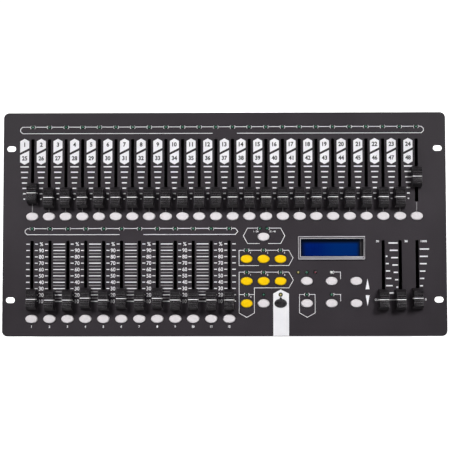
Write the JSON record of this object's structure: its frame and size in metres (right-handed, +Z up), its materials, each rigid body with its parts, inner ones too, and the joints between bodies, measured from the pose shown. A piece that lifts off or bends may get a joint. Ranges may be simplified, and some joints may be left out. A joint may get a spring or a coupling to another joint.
{
  "type": "lighting control console",
  "caption": "Rack-width desk console with two rows of slide faders, oval rubber keys, indicator lamps and a small character display over a shallow steel tub.",
  "frame": {"origin": "on the ground under the middle of the panel", "axes": "+X along the panel to the user's right, +Y away from the user to the rear edge, +Z up"},
  "size_m": [0.4826, 0.244, 0.0838],
  "materials": {
    "panel_paint": "satin, fine texture",
    "case_paint": "satin, fine texture",
    "cap_plastic": "moulded, ribbed, white index line",
    "white_rubber": "matt",
    "yellow_rubber": "matt",
    "black_rubber": "matt",
    "foot_rubber": "matt",
    "circuit_board": "solder resist",
    "frame_metal": "satin",
    "display_glass": "clear over blue",
    "switch_plastic": "moulded"
  },
  "bodies": {
    "console": {"front_panel": "panel_paint", "case_tub": "case_paint", "foot_front_left": "foot_rubber", "foot_front_right": "foot_rubber", "foot_rear_left": "foot_rubber", "foot_rear_right": "foot_rubber", "channel_board": "circuit_board", "playback_board": "circuit_board", "display_frame": "frame_metal", "display_module": "display_glass", "main_board": "circuit_board", "power_switch_body": "switch_plastic"},
    "channel_fader_01": {"channel_fader_01": "cap_plastic"},
    "channel_fader_02": {"channel_fader_02": "cap_plastic"},
    "channel_fader_03": {"channel_fader_03": "cap_plastic"},
    "channel_fader_04": {"channel_fader_04": "cap_plastic"},
    "channel_fader_05": {"channel_fader_05": "cap_plastic"},
    "channel_fader_06": {"channel_fader_06": "cap_plastic"},
    "channel_fader_07": {"channel_fader_07": "cap_plastic"},
    "channel_fader_08": {"channel_fader_08": "cap_plastic"},
    "channel_fader_09": {"channel_fader_09": "cap_plastic"},
    "channel_fader_10": {"channel_fader_10": "cap_plastic"},
    "channel_fader_11": {"channel_fader_11": "cap_plastic"},
    "channel_fader_12": {"channel_fader_12": "cap_plastic"},
    "channel_fader_13": {"channel_fader_13": "cap_plastic"},
    "channel_fader_14": {"channel_fader_14": "cap_plastic"},
    "channel_fader_15": {"channel_fader_15": "cap_plastic"},
    "channel_fader_16": {"channel_fader_16": "cap_plastic"},
    "channel_fader_17": {"channel_fader_17": "cap_plastic"},
    "channel_fader_18": {"channel_fader_18": "cap_plastic"},
    "channel_fader_19": {"channel_fader_19": "cap_plastic"},
    "channel_fader_20": {"channel_fader_20": "cap_plastic"},
    "channel_fader_21": {"channel_fader_21": "cap_plastic"},
    "channel_fader_22": {"channel_fader_22": "cap_plastic"},
    "channel_fader_23": {"channel_fader_23": "cap_plastic"},
    "channel_fader_24": {"channel_fader_24": "cap_plastic"},
    "playback_fader_01": {"playback_fader_01": "cap_plastic"},
    "playback_fader_02": {"playback_fader_02": "cap_plastic"},
    "playback_fader_03": {"playback_fader_03": "cap_plastic"},
    "playback_fader_04": {"playback_fader_04": "cap_plastic"},
    "playback_fader_05": {"playback_fader_05": "cap_plastic"},
    "playback_fader_06": {"playback_fader_06": "cap_plastic"},
    "playback_fader_07": {"playback_fader_07": "cap_plastic"},
    "playback_fader_08": {"playback_fader_08": "cap_plastic"},
    "playback_fader_09": {"playback_fader_09": "cap_plastic"},
    "playback_fader_10": {"playback_fader_10": "cap_plastic"},
    "playback_fader_11": {"playback_fader_11": "cap_plastic"},
    "playback_fader_12": {"playback_fader_12": "cap_plastic"},
    "wait_time_fader": {"wait_time_fader": "cap_plastic"},
    "fade_time_fader": {"fade_time_fader": "cap_plastic"},
    "master_fader": {"master_fader": "cap_plastic"},
    "channel_keypad": {"channel_keypad": "white_rubber"},
    "playback_keypad": {"playback_keypad": "white_rubber"},
    "page_key": {"page_key": "white_rubber"},
    "scene_keypad": {"scene_keypad": "yellow_rubber"},
    "chase_keypad": {"chase_keypad": "yellow_rubber"},
    "dimmer_key": {"dimmer_key": "white_rubber"},
    "blackout_key": {"blackout_key": "black_rubber"},
    "function_keypad": {"function_keypad": "white_rubber"},
    "power_rocker": {"power_rocker": "switch_plastic"}
  },
  "joints": [
    {"name": "channel_fader_01_slide", "type": "slide", "parent": "console", "child": "channel_fader_01", "axis": [0, 1, 0], "range_m": [-0.0049, 0.0551]},
    {"name": "channel_fader_02_slide", "type": "slide", "parent": "console", "child": "channel_fader_02", "axis": [0, 1, 0], "range_m": [0, 0.06]},
    {"name": "channel_fader_03_slide", "type": "slide", "parent": "console", "child": "channel_fader_03", "axis": [0, 1, 0], "range_m": [0, 0.06]},
    {"name": "channel_fader_04_slide", "type": "slide", "parent": "console", "child": "channel_fader_04", "axis": [0, 1, 0], "range_m": [0, 0.06]},
    {"name": "channel_fader_05_slide", "type": "slide", "parent": "console", "child": "channel_fader_05", "axis": [0, 1, 0], "range_m": [0, 0.06]},
    {"name": "channel_fader_06_slide", "type": "slide", "parent": "console", "child": "channel_fader_06", "axis": [0, 1, 0], "range_m": [0, 0.06]},
    {"name": "channel_fader_07_slide", "type": "slide", "parent": "console", "child": "channel_fader_07", "axis": [0, 1, 0], "range_m": [0, 0.06]},
    {"name": "channel_fader_08_slide", "type": "slide", "parent": "console", "child": "channel_fader_08", "axis": [0, 1, 0], "range_m": [0, 0.06]},
    {"name": "channel_fader_09_slide", "type": "slide", "parent": "console", "child": "channel_fader_09", "axis": [0, 1, 0], "range_m": [0, 0.06]},
    {"name": "channel_fader_10_slide", "type": "slide", "parent": "console", "child": "channel_fader_10", "axis": [0, 1, 0], "range_m": [0, 0.06]},
    {"name": "channel_fader_11_slide", "type": "slide", "parent": "console", "child": "channel_fader_11", "axis": [0, 1, 0], "range_m": [0, 0.06]},
    {"name": "channel_fader_12_slide", "type": "slide", "parent": "console", "child": "channel_fader_12", "axis": [0, 1, 0], "range_m": [0, 0.06]},
    {"name": "channel_fader_13_slide", "type": "slide", "parent": "console", "child": "channel_fader_13", "axis": [0, 1, 0], "range_m": [0, 0.06]},
    {"name": "channel_fader_14_slide", "type": "slide", "parent": "console", "child": "channel_fader_14", "axis": [0, 1, 0], "range_m": [0, 0.06]},
    {"name": "channel_fader_15_slide", "type": "slide", "parent": "console", "child": "channel_fader_15", "axis": [0, 1, 0], "range_m": [0, 0.06]},
    {"name": "channel_fader_16_slide", "type": "slide", "parent": "console", "child": "channel_fader_16", "axis": [0, 1, 0], "range_m": [0, 0.06]},
    {"name": "channel_fader_17_slide", "type": "slide", "parent": "console", "child": "channel_fader_17", "axis": [0, 1, 0], "range_m": [0, 0.06]},
    {"name": "channel_fader_18_slide", "type": "slide", "parent": "console", "child": "channel_fader_18", "axis": [0, 1, 0], "range_m": [0, 0.06]},
    {"name": "channel_fader_19_slide", "type": "slide", "parent": "console", "child": "channel_fader_19", "axis": [0, 1, 0], "range_m": [0, 0.06]},
    {"name": "channel_fader_20_slide", "type": "slide", "parent": "console", "child": "channel_fader_20", "axis": [0, 1, 0], "range_m": [0, 0.06]},
    {"name": "channel_fader_21_slide", "type": "slide", "parent": "console", "child": "channel_fader_21", "axis": [0, 1, 0], "range_m": [0, 0.06]},
    {"name": "channel_fader_22_slide", "type": "slide", "parent": "console", "child": "channel_fader_22", "axis": [0, 1, 0], "range_m": [0, 0.06]},
    {"name": "channel_fader_23_slide", "type": "slide", "parent": "console", "child": "channel_fader_23", "axis": [0, 1, 0], "range_m": [0, 0.06]},
    {"name": "channel_fader_24_slide", "type": "slide", "parent": "console", "child": "channel_fader_24", "axis": [0, 1, 0], "range_m": [-0.0222, 0.0378]},
    {"name": "playback_fader_01_slide", "type": "slide", "parent": "console", "child": "playback_fader_01", "axis": [0, 1, 0], "range_m": [-0.0009, 0.0591]},
    {"name": "playback_fader_02_slide", "type": "slide", "parent": "console", "child": "playback_fader_02", "axis": [0, 1, 0], "range_m": [0, 0.06]},
    {"name": "playback_fader_03_slide", "type": "slide", "parent": "console", "child": "playback_fader_03", "axis": [0, 1, 0], "range_m": [0, 0.06]},
    {"name": "playback_fader_04_slide", "type": "slide", "parent": "console", "child": "playback_fader_04", "axis": [0, 1, 0], "range_m": [-0.0021, 0.0579]},
    {"name": "playback_fader_05_slide", "type": "slide", "parent": "console", "child": "playback_fader_05", "axis": [0, 1, 0], "range_m": [0, 0.06]},
    {"name": "playback_fader_06_slide", "type": "slide", "parent": "console", "child": "playback_fader_06", "axis": [0, 1, 0], "range_m": [-0.0016, 0.0584]},
    {"name": "playback_fader_07_slide", "type": "slide", "parent": "console", "child": "playback_fader_07", "axis": [0, 1, 0], "range_m": [0, 0.06]},
    {"name": "playback_fader_08_slide", "type": "slide", "parent": "console", "child": "playback_fader_08", "axis": [0, 1, 0], "range_m": [-0.0018, 0.0582]},
    {"name": "playback_fader_09_slide", "type": "slide", "parent": "console", "child": "playback_fader_09", "axis": [0, 1, 0], "range_m": [0, 0.06]},
    {"name": "playback_fader_10_slide", "type": "slide", "parent": "console", "child": "playback_fader_10", "axis": [0, 1, 0], "range_m": [-0.0004, 0.0596]},
    {"name": "playback_fader_11_slide", "type": "slide", "parent": "console", "child": "playback_fader_11", "axis": [0, 1, 0], "range_m": [0, 0.06]},
    {"name": "playback_fader_12_slide", "type": "slide", "parent": "console", "child": "playback_fader_12", "axis": [0, 1, 0], "range_m": [0, 0.06]},
    {"name": "wait_time_fader_slide", "type": "slide", "parent": "console", "child": "wait_time_fader", "axis": [0, 1, 0], "range_m": [0, 0.06]},
    {"name": "fade_time_fader_slide", "type": "slide", "parent": "console", "child": "fade_time_fader", "axis": [0, 1, 0], "range_m": [0, 0.06]},
    {"name": "master_fader_slide", "type": "slide", "parent": "console", "child": "master_fader", "axis": [0, 1, 0], "range_m": [-0.0014, 0.0586]},
    {"name": "channel_keypad_press", "type": "slide", "parent": "console", "child": "channel_keypad", "axis": [0, 0, -1], "range_m": [0, 0.0006], "stiffness_N_per_m": 2000, "springref_m": -0.0004},
    {"name": "playback_keypad_press", "type": "slide", "parent": "console", "child": "playback_keypad", "axis": [0, 0, -1], "range_m": [0, 0.0006], "stiffness_N_per_m": 2000, "springref_m": -0.0004},
    {"name": "page_key_press", "type": "slide", "parent": "console", "child": "page_key", "axis": [0, 0, -1], "range_m": [0, 0.0006], "stiffness_N_per_m": 2000, "springref_m": -0.0004},
    {"name": "scene_keypad_press", "type": "slide", "parent": "console", "child": "scene_keypad", "axis": [0, 0, -1], "range_m": [0, 0.0006], "stiffness_N_per_m": 2000, "springref_m": -0.0004},
    {"name": "chase_keypad_press", "type": "slide", "parent": "console", "child": "chase_keypad", "axis": [0, 0, -1], "range_m": [0, 0.0006], "stiffness_N_per_m": 2000, "springref_m": -0.0004},
    {"name": "dimmer_key_press", "type": "slide", "parent": "console", "child": "dimmer_key", "axis": [0, 0, -1], "range_m": [0, 0.0006], "stiffness_N_per_m": 2000, "springref_m": -0.0004},
    {"name": "blackout_key_press", "type": "slide", "parent": "console", "child": "blackout_key", "axis": [0, 0, -1], "range_m": [0, 0.0006], "stiffness_N_per_m": 2000, "springref_m": -0.0004},
    {"name": "function_keypad_press", "type": "slide", "parent": "console", "child": "function_keypad", "axis": [0, 0, -1], "range_m": [0, 0.0006], "stiffness_N_per_m": 2000, "springref_m": -0.0004},
    {"name": "power_rocker_tilt", "type": "hinge", "parent": "console", "child": "power_rocker", "pos_m": [-0.2, 0.1136, 0.0313], "axis": [-1, 0, 0], "range_deg": [0, 20]}
  ]
}
